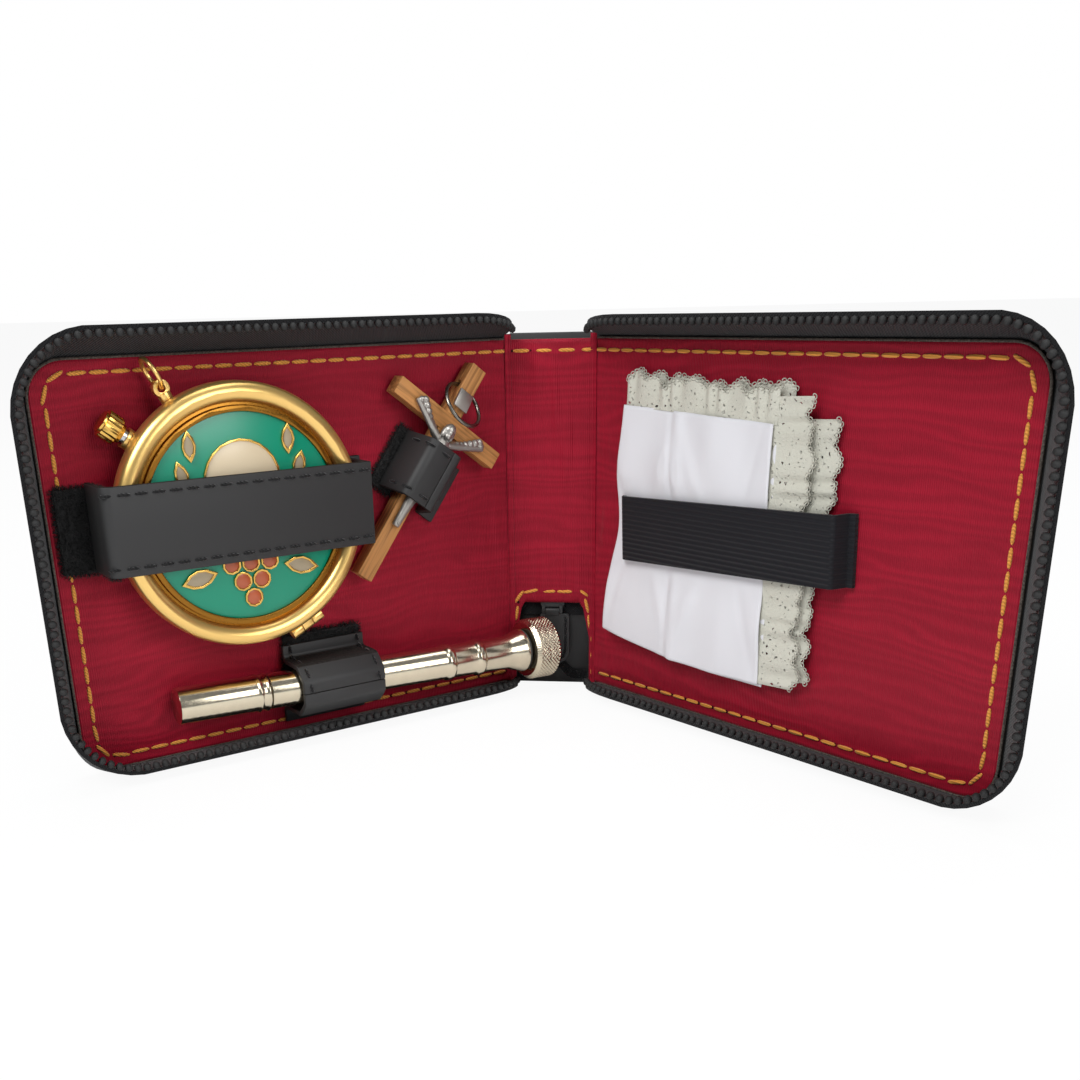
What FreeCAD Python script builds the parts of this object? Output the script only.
import FreeCAD, Part
import math
import os

# A zipped leather case for taking communion to the sick, standing open like a book.
# Each cover is modelled lying flat beside the spine: x runs out from its crease, z runs up and
# y points out through the back, so a thing that stands h above the lining lies at y = -h.
# The left cover is the mirror image of that. Both are then folded about their creases.

# Case
COVER_WIDTH = 114.5
SPINE_WIDTH = 21.0
OPEN_ANGLE = 95.0
COVER_CORNER = 9.0
CREASE_GAP = 0.1

# Layers, from the inside out
LINING = 0.5
FOAM = 0.8
BOARD = 1.4
LEATHER = 1.2
LEATHER_BEVEL = 0.6
SEAM_RIM = 1.4

# Zip walls: height of the tape's edge, and how far it leans out at the side, top and foot
TAPE = 0.9
TAPE_START = 0.6
TAPE_TAPER = 15.0
LEFT_TAPE_HEIGHT = 10.0
LEFT_LEAN_SIDE = 4.6
LEFT_LEAN_TOP = 4.9
LEFT_LEAN_FOOT = -2.1
LEFT_TAPE_CORNER = 17.0
RIGHT_TAPE_HEIGHT = 8.6
RIGHT_LEAN_SIDE = 7.6
RIGHT_LEAN_TOP = 4.0
RIGHT_LEAN_FOOT = -1.9
RIGHT_TAPE_CORNER = 16.0
TOOTH_PITCH = 2.0
TOOTH_LENGTH = 1.3
TOOTH_HEIGHT = 1.7
TOOTH_DEPTH = 1.2
TOOTH_STANDS_PROUD = 0.6
TOOTH_FOOT = 0.6
WALL_CUTS = 9
TAPER_CUTS = 8

# Notch in the foot of the spine, and the pocket behind it for the end of the zip
NOTCH_HALF_TOP = 7.1
NOTCH_HALF_FOOT = 9.8
NOTCH_SHOULDER = 12.0
NOTCH_HEIGHT = 22.3
NOTCH_ROUND = 2.0
POCKET_HEIGHT = 27.0

# End of the zip
TAIL_TAPE = 0.3
TAIL_FOOT = 18.6
TAIL_SLOT = 0.7
TAIL_DEPTH = 0.45
LEAD_WIDTH = 2.2
LEAD_BEND = 3.0
LEAD_TOOTH_DEPTH = 0.45
SLIDER_WIDTH = 7.4
SLIDER_LENGTH = 5.6
SLIDER_PLATE = 0.3
SLIDER_FOOT = 21.0
SLIDER_POST = 0.5
EAR_THICKNESS = 0.8
EAR_REACH = 0.9
EAR_WALL = 0.3
PULL_PIN_RADIUS = 0.3
PULL_WIDTH = 7.6
PULL_OFFSET = 0.6
PULL_LENGTH = 15.1
PULL_THICKNESS = 1.0
PULL_ROUND = 3.4
SMALL_FIT = 0.1
WIRE_SIDES = 6

# Pyx
PYX_X = 74.8
PYX_OVER_PATCH = 2.1
TOP_ROOM = 1.21
PYX_RADIUS = 27.6
PYX_LIFT = 0.3
LID_OVERHANG = 1.4
CUP_BASE_INSET = 7.7
CUP_WALL = 0.8
CUP_HEIGHT = 6.8
CUP_SHOULDER = 4.0
CUP_ROUND = 5.0
BEZEL_WIDTH = 4.1
BEZEL_HEIGHT = 4.4
BEZEL_ROUND = 1.9
LID_GAP = 0.2
SKIRT = 0.6
SKIRT_DROP = 1.4
PLATE_LIFT = 1.4
PLATE = 0.9
RIM_INNER = 21.6
RIM_WIDTH = 1.2
RIM_HEIGHT = 1.2
ENAMEL = 0.6
CELL_WALL = 0.45
CELL_HEIGHT = 0.6
CELL_ENAMEL = 0.4
HINGE_ANGLE = 297.0
HINGE_REACH = 1.4
HINGE_PIN_RADIUS = 0.6
KNUCKLE_RADIUS = 1.3
KNUCKLE_LENGTH = 2.8
CROWN_ANGLE = 141.0
CROWN_HEIGHT = 4.4
CROWN_RADIUS = 3.0
CROWN_LENGTH = 3.2
CROWN_COLLAR_RADIUS = 2.2
CROWN_COLLAR = 0.9
CROWN_TEETH = 18
CROWN_TRAVEL = 0.8
STEM_RADIUS = 0.8
STEM_TUBE_RADIUS = 2.2
STEM_TUBE_WALL = 0.5
STEM_TUBE_LENGTH = 2.0
LATCH_WIDTH = 2.6
LATCH_THICKNESS = 1.2
LATCH_HEIGHT = 2.0
BOW_ANGLE = 117.0
BOW_HEIGHT = 5.2
BOW_RADIUS = 3.2
BOW_WIRE = 0.55
BOW_POST_RADIUS = 1.4
BOW_POST_LENGTH = 2.4
BOW_EYE_RADIUS = 1.7
BOW_EYE_THICKNESS = 1.8
BOW_EYE_HOLE = 0.85

# Straps that hold the contents
STRAP = 1.2
STRAP_CLEARANCE = 0.3
PATCH = 1.2
PYX_STRAP_WIDTH = 18.0
PYX_STRAP_RISE = 0.3
PYX_STRAP_BEND = 1.8
PATCH_REACH = 8.0

# Crucifix, measured down from the top of its upright
CROSS_TOP_X = 11.6
CROSS_TOP_Z = 80.8
CROSS_TILT = 36.87
CROSS_LIFT = 1.4
UPRIGHT_LENGTH = 56.0
CROSSBAR_LENGTH = 32.3
CROSSBAR_DROP = 15.0
BAR_WIDTH = 4.1
BAR_THICKNESS = 4.0
RING_HOLE_DROP = 5.5
RING_RADIUS = 5.4
RING_WIRE = 0.5
RING_HOLE_RADIUS = 1.0
RING_STANDS = 38.0
PLAQUE_DROP = 6.6
PLAQUE_LENGTH = 4.4
PLAQUE_WIDTH = 4.0
PLAQUE = 0.6
PLAQUE_TIP = 9.0
HEAD_DROP = 17.2
HAND_REACH = 9.7
FEET_DROP = 41.2
CORPUS_PIN = 0.35
CROSS_LOOP_DROP = 21.0
CROSS_LOOP_WIDTH = 14.5
CROSS_LOOP_HEIGHT = 9.8
CROSS_LOOP_HALF = 3.8

# Sprinkler, measured along its axis from its left end
SPRINKLER_HEAD_X = -4.18
SPRINKLER_HEAD_Z = 11.9
SPRINKLER_HEAD_H = 9.48
SPRINKLER_LENGTH = 97.5
SPRINKLER_FALL = 1.26
SPRINKLER_RISE = 2.8
TUBE_RADIUS = 4.1
TUBE_WALL = 0.5
CAP_LENGTH = 21.0
CAP_BEAD = 0.35
SPIGOT_LENGTH = 9.0
SPIGOT_FIT = 0.15
ROSE_LENGTH = 3.0
ROSE_HOLES = 6
ROSE_HOLE_RADIUS = 0.35
BAND_PLACES = (67.5, 76.0)
BAND_WIDTH = 1.2
BAND_PROUD = 0.4
NECK_START = 84.5
NECK_RADIUS = 5.5
FILLER_LENGTH = 7.7
FILLER_RADIUS = 7.7
FILLER_TEETH = 32
FILLER_TOOTH = 0.35
FILLER_CHAMFER = 0.9
PLUG_LENGTH = 5.0
WASHER = 0.6
SPRINKLER_LOOP_X = 45.2
SPRINKLER_LOOP_WIDTH = 20.8
SPRINKLER_LOOP_FOOT = 3.7
SPRINKLER_PATCH_TOP = 24.2

# Linen and its elastic
LINEN_THICKNESS = 3.6
LINEN_LIFT = 0.1
ELASTIC = 1.1
ELASTIC_WIDTH = 15.0
ELASTIC_START = 11.0
ELASTIC_END = 77.0
ELASTIC_Z = 36.3
ELASTIC_TILT = 2.2
ELASTIC_RAMP = 3.6

HALF_SPINE = SPINE_WIDTH / 2
CUP_RADIUS = PYX_RADIUS - LID_OVERHANG
CUP_BASE_RADIUS = CUP_RADIUS - CUP_BASE_INSET
PYX_Z = SPRINKLER_PATCH_TOP + PYX_OVER_PATCH + PYX_RADIUS
BOW_TOP = CUP_RADIUS + BOW_POST_LENGTH + BOW_EYE_RADIUS * 0.8 + 2 * BOW_RADIUS + BOW_WIRE
CASE_HEIGHT = PYX_Z + BOW_TOP * math.sin(math.radians(BOW_ANGLE)) + TOP_ROOM
FOLD = (180.0 - OPEN_ANGLE) / 2
BOARD_FRONT = LINING + FOAM
LEATHER_FRONT = BOARD_FRONT + BOARD
LEATHER_BACK = LEATHER_FRONT + LEATHER
LID_H = CUP_HEIGHT + LID_GAP
LID_TOP = LID_H + BEZEL_HEIGHT
BEZEL_INNER = PYX_RADIUS - BEZEL_WIDTH
HINGE_H = CUP_HEIGHT + LID_GAP / 2
HINGE_R = PYX_RADIUS + HINGE_REACH
CUP_BORE = CUP_RADIUS - CUP_WALL
ENAMEL_H = LID_H + PLATE_LIFT + PLATE
MOTIF_H = ENAMEL_H + ENAMEL
NECK_END = SPRINKLER_LENGTH - FILLER_LENGTH - WASHER

X = FreeCAD.Vector(1, 0, 0)
Y = FreeCAD.Vector(0, 1, 0)
Z = FreeCAD.Vector(0, 0, 1)
ORIGIN = FreeCAD.Vector(0, 0, 0)


def vec(x, y, z):
    return FreeCAD.Vector(x, y, z)


def flat(h):
    """A place on the cover's own plane, h above the lining, for a point given as (x, z)."""
    return lambda p: vec(p[0], -h, p[1])


def block(x0, x1, y0, y1, z0, z1):
    return Part.makeBox(x1 - x0, y1 - y0, z1 - z0, vec(x0, y0, z0))


def corner_points(before, corner, after, radius):
    """Where an arc of this radius leaves the two lines of a corner, and its middle point."""
    back = (before - corner).normalize()
    on = (after - corner).normalize()
    half = back.getAngle(on) / 2
    reach = radius / math.tan(half)
    inward = (back + on).normalize()
    middle = corner + inward * (radius / math.sin(half) - radius)
    return corner + back * reach, middle, corner + on * reach


def rounded_wire(points, radii, place):
    """A closed wire through 2D points, with each corner rounded by its own radius."""
    at = [place(p) for p in points]
    count = len(at)
    arcs = []
    for i, corner in enumerate(at):
        if radii[i] > 0:
            arcs.append(corner_points(at[i - 1], corner, at[(i + 1) % count], radii[i]))
        else:
            arcs.append((corner, None, corner))
    edges = []
    for i in range(count):
        start, middle, end = arcs[i]
        if middle is not None:
            edges.append(Part.Arc(start, middle, end).toShape())
        following = arcs[(i + 1) % count][0]
        if end.distanceToPoint(following) > 1e-6:
            edges.append(Part.LineSegment(end, following).toShape())
    return Part.Wire(edges)


def prism(points, radii, place, along):
    return Part.Face(rounded_wire(points, radii, place)).extrude(along)


def offset_line(points, shift):
    """An open line of 2D points moved sideways by shift, mitred at its corners."""
    moved = []
    for i, (a, b) in enumerate(points):
        normals = []
        for j in (i - 1, i):
            if 0 <= j < len(points) - 1:
                da = points[j + 1][0] - points[j][0]
                db = points[j + 1][1] - points[j][1]
                size = math.hypot(da, db)
                normals.append((-db / size, da / size))
        na = sum(n[0] for n in normals) / len(normals)
        nb = sum(n[1] for n in normals) / len(normals)
        scale = shift / (na * na + nb * nb)
        moved.append((a + na * scale, b + nb * scale))
    return moved


def ribbon(points, bend, thickness, place, along):
    """A strap of even thickness whose section follows an open line with rounded bends."""
    one = offset_line(points, thickness / 2)
    other = offset_line(points, -thickness / 2)
    one_radii = [0.0]
    other_radii = [0.0]
    for i in range(1, len(points) - 1):
        ax = points[i][0] - points[i - 1][0]
        ay = points[i][1] - points[i - 1][1]
        bx = points[i + 1][0] - points[i][0]
        by = points[i + 1][1] - points[i][1]
        turn = thickness / 2 if ax * by - ay * bx > 0 else -thickness / 2
        one_radii.append(bend - turn)
        other_radii.append(bend + turn)
    one_radii.append(0.0)
    other_radii.append(0.0)
    outline = one + other[::-1]
    return prism(outline, one_radii + other_radii[::-1], place, along)


def eased(points, radii):
    """A 2D outline whose rounded corners are each cut by two straight faces."""
    at = [vec(a, b, 0) for a, b in points]
    line = []
    for i, corner in enumerate(at):
        if radii[i] > 0:
            line += corner_points(at[i - 1], corner, at[(i + 1) % len(at)], radii[i])
        else:
            line.append(corner)
    return [(q.x, q.y) for q in line]


def turned(points, radii, base, axis, out):
    """A solid of revolution about axis at base, from a profile of (radius, distance) points."""
    corners = [base + out * p[0] + axis * p[1] for p in eased(points, radii)]
    return Part.Face(Part.makePolygon(corners + corners[:1])).revolve(base, axis, 360)


def sideways(axis):
    """A direction square to an axis."""
    return axis.cross(Y if abs(axis.y) < 0.9 * axis.Length else X).normalize()


def polygon(radius, sides, middle, one, other):
    """The corners of a regular figure round a middle point, in the plane of two directions."""
    corners = []
    for i in range(sides):
        angle = 2 * math.pi * i / sides
        corners.append(middle + one * (radius * math.cos(angle)) + other * (radius * math.sin(angle)))
    return corners


def closed(corners):
    return Part.makePolygon(corners + corners[:1])


def bar(radius, sides, start, end):
    """A rod with flat sides."""
    axis = (end - start).normalize()
    one = sideways(axis)
    return Part.Face(closed(polygon(radius, sides, start, one, axis.cross(one)))).extrude(end - start)


def wire_ring(radius, wire, middle, axis):
    """A ring of wire about an axis, with a six-sided section."""
    out = sideways(axis)
    section = polygon(wire, WIRE_SIDES, middle + out * radius, out, vec(*axis).normalize())
    return Part.Face(closed(section)).revolve(middle, axis, 360)


def rod(radius, start, end):
    return Part.makeCylinder(radius, (end - start).Length, start, end - start)


def toothed(radius, depth, teeth, start, end):
    """A round bar with straight serrations along its side."""
    axis = (end - start).normalize()
    side = axis.cross(Y if abs(axis.y) < 0.9 else X).normalize()
    other = axis.cross(side)
    corners = []
    for i in range(2 * teeth):
        angle = math.pi * i / teeth
        r = radius if i % 2 == 0 else radius - depth
        corners.append(start + side * (r * math.cos(angle)) + other * (r * math.sin(angle)))
    return Part.Face(Part.makePolygon(corners + corners[:1])).extrude(end - start)


# Cover panels


def panel_outline(inset, corner):
    """A cover's outline, square at the crease and rounded at its outer corners."""
    points = [
        (CREASE_GAP, inset),
        (COVER_WIDTH - inset, inset),
        (COVER_WIDTH - inset, CASE_HEIGHT - inset),
        (CREASE_GAP, CASE_HEIGHT - inset),
    ]
    return points, [0, corner, corner, 0]


def panel_layer(inset, corner, front, back):
    points, radii = panel_outline(inset, corner)
    return prism(points, radii, flat(-front), Y * (back - front))


def cover_leather():
    """The outer leather, with the rim that the zip tape and the lining are sewn to."""
    skin = panel_layer(0, COVER_CORNER, BOARD_FRONT, LEATHER_BACK)
    rounded = [
        e
        for e in skin.Edges
        if e.BoundBox.YMin > LEATHER_BACK - 1e-6 and e.BoundBox.XMax > CREASE_GAP + 1e-6
    ]
    skin = skin.makeChamfer(min(LEATHER_BEVEL, 0.8 * LEATHER), rounded)
    hollow = panel_layer(SEAM_RIM, COVER_CORNER - SEAM_RIM, BOARD_FRONT, LEATHER_FRONT)
    return skin.cut(hollow)


def cover_board():
    return panel_layer(SEAM_RIM, COVER_CORNER - SEAM_RIM, BOARD_FRONT, LEATHER_FRONT)


def cover_foam():
    return panel_layer(SEAM_RIM, COVER_CORNER - SEAM_RIM, LINING, BOARD_FRONT)


def cover_lining():
    return panel_layer(SEAM_RIM, COVER_CORNER - SEAM_RIM, 0, LINING)


# Zip walls


class ZipWall:
    """One side of the zip: a tape that stands on the cover's rim and leans outwards."""

    def __init__(self, height, side, top, foot, corner):
        self.height = height
        self.side = side
        self.top = top
        self.foot = foot
        self.corner = corner

    def outline(self, rise, inset):
        """The tape's outline at a share of its rise, where 0 is its foot and 1 is its edge."""
        x1 = COVER_WIDTH + self.side * rise - inset
        z0 = -self.foot * rise + inset
        z1 = CASE_HEIGHT + self.top * rise - inset
        corner = COVER_CORNER + (self.corner - COVER_CORNER) * rise - inset
        return x1, z0, z1, corner

    def depth(self, rise):
        return BOARD_FRONT - (BOARD_FRONT + self.height) * rise

    def wire(self, rise, inset):
        x1, z0, z1, corner = self.outline(rise, inset)
        middles = [(-x1, z0, 1, 1), (x1, z0, -1, 1), (x1, z1, -1, -1), (-x1, z1, 1, -1)]
        step = math.pi / 2 / WALL_CUTS
        reach = corner / math.cos(step / 2)
        corners = []
        for i, (x, z, across, up) in enumerate(middles):
            for k in range(WALL_CUTS):
                turn = math.pi + i * math.pi / 2 + (k + 0.5) * step
                middle = (x + across * corner, z + up * corner)
                point = (middle[0] + reach * math.cos(turn), middle[1] + reach * math.sin(turn))
                corners.append(flat(-self.depth(rise))(point))
        return closed(corners)

    def shell(self, inset, over):
        wires = [self.wire(-over, inset), self.wire(1 + over, inset)]
        return Part.makeLoft(wires, True, True)

    def taper(self, x):
        """Height of the tape's edge near the crease, where it runs down to the seam."""
        if x >= TAPE_TAPER:
            return self.height
        share = 1 - max(x, 0) / TAPE_TAPER
        return self.height * math.sqrt(1 - share * share)

    def over_taper(self):
        """All that lies above the tape's edge near the crease."""
        reach = 3 * self.height
        steps = [TAPE_TAPER * (i / TAPER_CUTS) ** 2 for i in range(TAPER_CUTS + 1)]
        corners = [vec(x, -self.taper(x), 0) for x in steps]
        corners += [vec(TAPE_TAPER, -reach, 0), vec(-reach, -reach, 0), vec(-reach, 0, 0)]
        face = Part.Face(closed(corners))
        face.translate(Z * -reach)
        return face.extrude(Z * (CASE_HEIGHT + 2 * reach))

    def tape(self):
        ends = 0.1
        wall = self.shell(0, 0).cut(self.shell(TAPE, ends))
        reach = COVER_WIDTH + self.side
        kept = block(TAPE_START, 2 * reach, -2 * self.height, LEATHER_BACK, -reach, 2 * reach)
        return wall.common(kept).cut(self.over_taper())

    def run(self):
        """Pairs of points, at the tape's foot and edge, in even steps along its inner face."""
        fx1, fz0, fz1, fc = self.outline(0, TAPE)
        ex1, ez0, ez1, ec = self.outline(1, TAPE)
        first = TAPE_START + TOOTH_LENGTH
        pieces = [
            (ex1 - ec - first, [((first, fz1), (first, ez1)), ((fx1 - fc, fz1), (ex1 - ec, ez1))]),
            (ec * math.pi / 2, [(fx1 - fc, fz1 - fc, fc), (ex1 - ec, ez1 - ec, ec), 90]),
            (
                ez1 - ez0 - 2 * ec,
                [((fx1, fz1 - fc), (ex1, ez1 - ec)), ((fx1, fz0 + fc), (ex1, ez0 + ec))],
            ),
            (ec * math.pi / 2, [(fx1 - fc, fz0 + fc, fc), (ex1 - ec, ez0 + ec, ec), 0]),
            (ex1 - ec - first, [((fx1 - fc, fz0), (ex1 - ec, ez0)), ((first, fz0), (first, ez0))]),
        ]
        total = sum(length for length, _ in pieces)
        count = int(total / TOOTH_PITCH)
        for i in range(count + 1):
            along = total * i / count
            for length, piece in pieces:
                if along <= length + 1e-9:
                    break
                along -= length
            yield self.at(piece, min(along / length, 1.0))

    def at(self, piece, share):
        """One pair of points on a straight stretch or a corner of the tape."""
        if len(piece) == 2:
            start, end = piece
            pair = [
                (s[0] + (e[0] - s[0]) * share, s[1] + (e[1] - s[1]) * share)
                for s, e in zip(start, end)
            ]
        else:
            foot, edge, angle = piece
            turn = math.radians(angle - 90 * share)
            pair = [(c[0] + c[2] * math.cos(turn), c[1] + c[2] * math.sin(turn)) for c in (foot, edge)]
        return flat(-self.depth(0))(pair[0]), flat(-self.depth(1))(pair[1])

    def teeth(self):
        """The teeth, each seated on the inner face of the tape and standing past its edge."""
        pairs = list(self.run())
        solids = []
        for i, (foot, edge) in enumerate(pairs):
            before = pairs[max(i - 1, 0)][1]
            after = pairs[min(i + 1, len(pairs) - 1)][1]
            rise = (self.taper(edge.x) + BOARD_FRONT) / (self.height + BOARD_FRONT)
            up = (edge - foot).normalize()
            inward = (after - before).cross(up).normalize()
            along = inward.cross(up)
            seat = foot + (edge - foot) * rise + inward * SMALL_FIT * 0.2
            solids.append(tooth(seat + up * TOOTH_STANDS_PROUD, along, up, inward))
        return Part.makeCompound(solids)


def tooth(tip, along, up, inward):
    """A zip tooth: narrow at its foot and broad at the head that locks with its neighbours."""
    half = TOOTH_LENGTH / 2
    foot = half * TOOTH_FOOT
    shape = [(-foot, -TOOTH_HEIGHT), (foot, -TOOTH_HEIGHT), (half, 0), (-half, 0)]
    corners = [tip + along * a + up * b for a, b in shape]
    return Part.Face(Part.makePolygon(corners + corners[:1])).extrude(inward * TOOTH_DEPTH)


LEFT_WALL = ZipWall(
    LEFT_TAPE_HEIGHT, LEFT_LEAN_SIDE, LEFT_LEAN_TOP, LEFT_LEAN_FOOT, LEFT_TAPE_CORNER
)
RIGHT_WALL = ZipWall(
    RIGHT_TAPE_HEIGHT, RIGHT_LEAN_SIDE, RIGHT_LEAN_TOP, RIGHT_LEAN_FOOT, RIGHT_TAPE_CORNER
)


# Spine


def notch_outline(half_top, half_foot, shoulder, top):
    return [
        (-half_foot, -1),
        (half_foot, -1),
        (half_foot, shoulder),
        (half_top, top),
        (-half_top, top),
        (-half_foot, shoulder),
    ]


def spine_layer(inset, front, back):
    half = HALF_SPINE - CREASE_GAP
    return block(-half, half, front, back, inset, CASE_HEIGHT - inset)


def spine_leather():
    return spine_layer(0, LEATHER_FRONT, LEATHER_BACK)


def spine_board():
    pocket = block(
        -NOTCH_HALF_FOOT, NOTCH_HALF_FOOT, BOARD_FRONT - 1, LEATHER_BACK, -1, POCKET_HEIGHT
    )
    return spine_layer(SEAM_RIM, BOARD_FRONT, LEATHER_FRONT).cut(pocket)


def spine_foam():
    pocket = block(-NOTCH_HALF_FOOT, NOTCH_HALF_FOOT, 0, LEATHER_BACK, -1, POCKET_HEIGHT)
    return spine_layer(SEAM_RIM, LINING, BOARD_FRONT).cut(pocket)


def spine_lining():
    outline = notch_outline(NOTCH_HALF_TOP, NOTCH_HALF_FOOT, NOTCH_SHOULDER, NOTCH_HEIGHT)
    radii = [0, 0, 0, NOTCH_ROUND, NOTCH_ROUND, 0]
    notch = prism(outline, radii, flat(1), Y * (LINING + 2))
    return spine_layer(SEAM_RIM, 0, LINING).cut(notch)


# End of the zip, in the spine's notch

TAIL_BACK = LEATHER_FRONT - TAIL_DEPTH
TAIL_FRONT = TAIL_BACK - TAIL_TAPE
SLIDER_BACK = LEATHER_FRONT - SMALL_FIT / 2
SLIDER_FRONT = LINING + SMALL_FIT
PULL_Y = SLIDER_FRONT + SMALL_FIT
PULL_Z = SLIDER_FOOT - EAR_REACH
EAR_HALF = PULL_PIN_RADIUS + SMALL_FIT + EAR_WALL


def zip_tail_tape():
    """The two tape ends, side by side in the pocket, with the slot that the slider runs in."""
    strips = []
    for side in (-1, 1):
        x0, x1 = sorted((side * TAIL_SLOT, side * NOTCH_HALF_FOOT))
        strips.append(block(x0, x1, TAIL_FRONT, TAIL_BACK, TAIL_FOOT, POCKET_HEIGHT))
    return Part.makeCompound(strips)


def lead_line(side):
    """Middle line of the tape that comes round the foot of the notch and up to the slider."""
    half = LEAD_WIDTH / 2
    low = half + SEAM_RIM
    return [
        (side * (NOTCH_HALF_FOOT - half), low),
        (side * (TAIL_SLOT + half + LEAD_BEND), low),
        (side * (TAIL_SLOT + half), low + LEAD_BEND),
        (side * (TAIL_SLOT + half), TAIL_FOOT),
    ]


def zip_lead(side):
    """A short run of tape with its teeth, which joins a cover's zip to the slider."""
    line = lead_line(side)
    tape = ribbon(line, LEAD_BEND / 2, LEAD_WIDTH, flat(-TAIL_FRONT), Y * TAIL_TAPE)
    solids = [tape]
    for a, b in zip(line, line[1:]):
        length = math.hypot(b[0] - a[0], b[1] - a[1])
        count = int(length / TOOTH_PITCH)
        for i in range(count):
            share = (i + 0.5) / count
            middle = vec(a[0] + (b[0] - a[0]) * share, TAIL_FRONT, a[1] + (b[1] - a[1]) * share)
            along = vec(b[0] - a[0], 0, b[1] - a[1]).normalize()
            across = along.cross(Y) * side
            solids.append(lead_tooth(middle, along, across))
    return Part.makeCompound(solids)


def lead_tooth(middle, along, across):
    half = TOOTH_LENGTH / 2
    reach = LEAD_WIDTH * 0.4
    shape = [(-half, -reach), (half, -reach), (half * 0.6, reach), (-half * 0.6, reach)]
    corners = [middle + along * a + across * b for a, b in shape]
    return Part.Face(Part.makePolygon(corners + corners[:1])).extrude(Y * -LEAD_TOOTH_DEPTH)


def zip_slider():
    """Two plates joined by the post that parts the tapes, with ears for the pull's pin."""
    half = SLIDER_WIDTH / 2
    top = SLIDER_FOOT + SLIDER_LENGTH
    outline = [
        (-half * 0.8, SLIDER_FOOT),
        (half * 0.8, SLIDER_FOOT),
        (half, top),
        (-half, top),
    ]
    radii = [0.8, 0.8, 1.6, 1.6]
    front = prism(outline, radii, flat(-SLIDER_FRONT), Y * SLIDER_PLATE)
    back = prism(outline, radii, flat(-SLIDER_BACK + SLIDER_PLATE), Y * SLIDER_PLATE)
    post = block(
        -SLIDER_POST, SLIDER_POST, SLIDER_FRONT, SLIDER_BACK, SLIDER_FOOT + 1.5, top - 0.8
    )
    body = front.fuse([back, post])
    pin = PULL_PIN_RADIUS + SMALL_FIT
    for side in (-1, 1):
        x0, x1 = sorted((side * ear_place(), side * (ear_place() + EAR_THICKNESS)))
        ear = block(
            x0,
            x1,
            PULL_Y - EAR_HALF,
            PULL_Y + EAR_HALF,
            PULL_Z - EAR_HALF,
            SLIDER_FOOT + 0.5,
        )
        body = body.fuse(ear)
    bore = rod(pin, vec(-half, PULL_Y, PULL_Z), vec(half, PULL_Y, PULL_Z))
    return body.cut(bore).removeSplitter()


def ear_place():
    return SLIDER_WIDTH * 0.8 / 2 - EAR_THICKNESS - 0.3


def zip_pull_pin():
    end = ear_place() + EAR_THICKNESS
    return rod(PULL_PIN_RADIUS, vec(-end, PULL_Y, PULL_Z), vec(end, PULL_Y, PULL_Z))


def zip_pull_tab():
    """The stitched leather tab, which hangs from the pin on a tongue between the ears."""
    half = PULL_WIDTH / 2
    top = PULL_Z - EAR_HALF - SMALL_FIT
    foot = SLIDER_FOOT - PULL_LENGTH
    outline = [
        (PULL_OFFSET - half, foot),
        (PULL_OFFSET + half, foot),
        (PULL_OFFSET + half, top),
        (PULL_OFFSET - half, top),
    ]
    radii = [PULL_ROUND, PULL_ROUND, 0.8, 0.8]
    front = PULL_Y - PULL_THICKNESS / 2
    tab = prism(outline, radii, flat(-front), Y * PULL_THICKNESS)
    reach = ear_place() - SMALL_FIT
    eye = PULL_PIN_RADIUS + 0.35
    tongue = block(-reach, reach, PULL_Y - eye, PULL_Y + eye, top - 0.5, PULL_Z)
    curl = rod(eye, vec(-reach, PULL_Y, PULL_Z), vec(reach, PULL_Y, PULL_Z))
    bore = rod(PULL_PIN_RADIUS, vec(-reach, PULL_Y, PULL_Z), vec(reach, PULL_Y, PULL_Z))
    return tab.fuse([tongue, curl]).cut(bore).removeSplitter()


# Pyx

PYX_CENTRE = vec(PYX_X, 0, PYX_Z)


def radial(angle):
    """Direction out from the pyx's centre, with the angle as seen on the left cover."""
    turn = math.radians(angle)
    return vec(-math.cos(turn), 0, math.sin(turn))


def around_pyx(points, radii):
    return turned(points, radii, PYX_CENTRE, Y * -1, X)


def pyx_place(angle, r, h):
    return PYX_CENTRE + radial(angle) * r + Y * -h


def knuckle(start, end, lug_h0, lug_h1, lug_r):
    """A hinge knuckle between two places along the pin, and the lug that carries it."""
    axis = radial(HINGE_ANGLE).cross(Y)
    middle = pyx_place(HINGE_ANGLE, HINGE_R, HINGE_H)
    barrel = rod(KNUCKLE_RADIUS, middle + axis * start, middle + axis * end)
    out = radial(HINGE_ANGLE)
    lug = Part.makePolygon(
        [
            PYX_CENTRE + out * lug_r + axis * start + Y * -lug_h0,
            PYX_CENTRE + out * HINGE_R + axis * start + Y * -lug_h0,
            PYX_CENTRE + out * HINGE_R + axis * start + Y * -lug_h1,
            PYX_CENTRE + out * lug_r + axis * start + Y * -lug_h1,
            PYX_CENTRE + out * lug_r + axis * start + Y * -lug_h0,
        ]
    )
    arm = Part.Face(lug).extrude(axis * (end - start))
    return barrel.fuse(arm)


def hinge_bore(radius):
    axis = radial(HINGE_ANGLE).cross(Y)
    middle = pyx_place(HINGE_ANGLE, HINGE_R, HINGE_H)
    reach = 1.5 * KNUCKLE_LENGTH
    return rod(radius, middle - axis * reach, middle + axis * reach)


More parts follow.
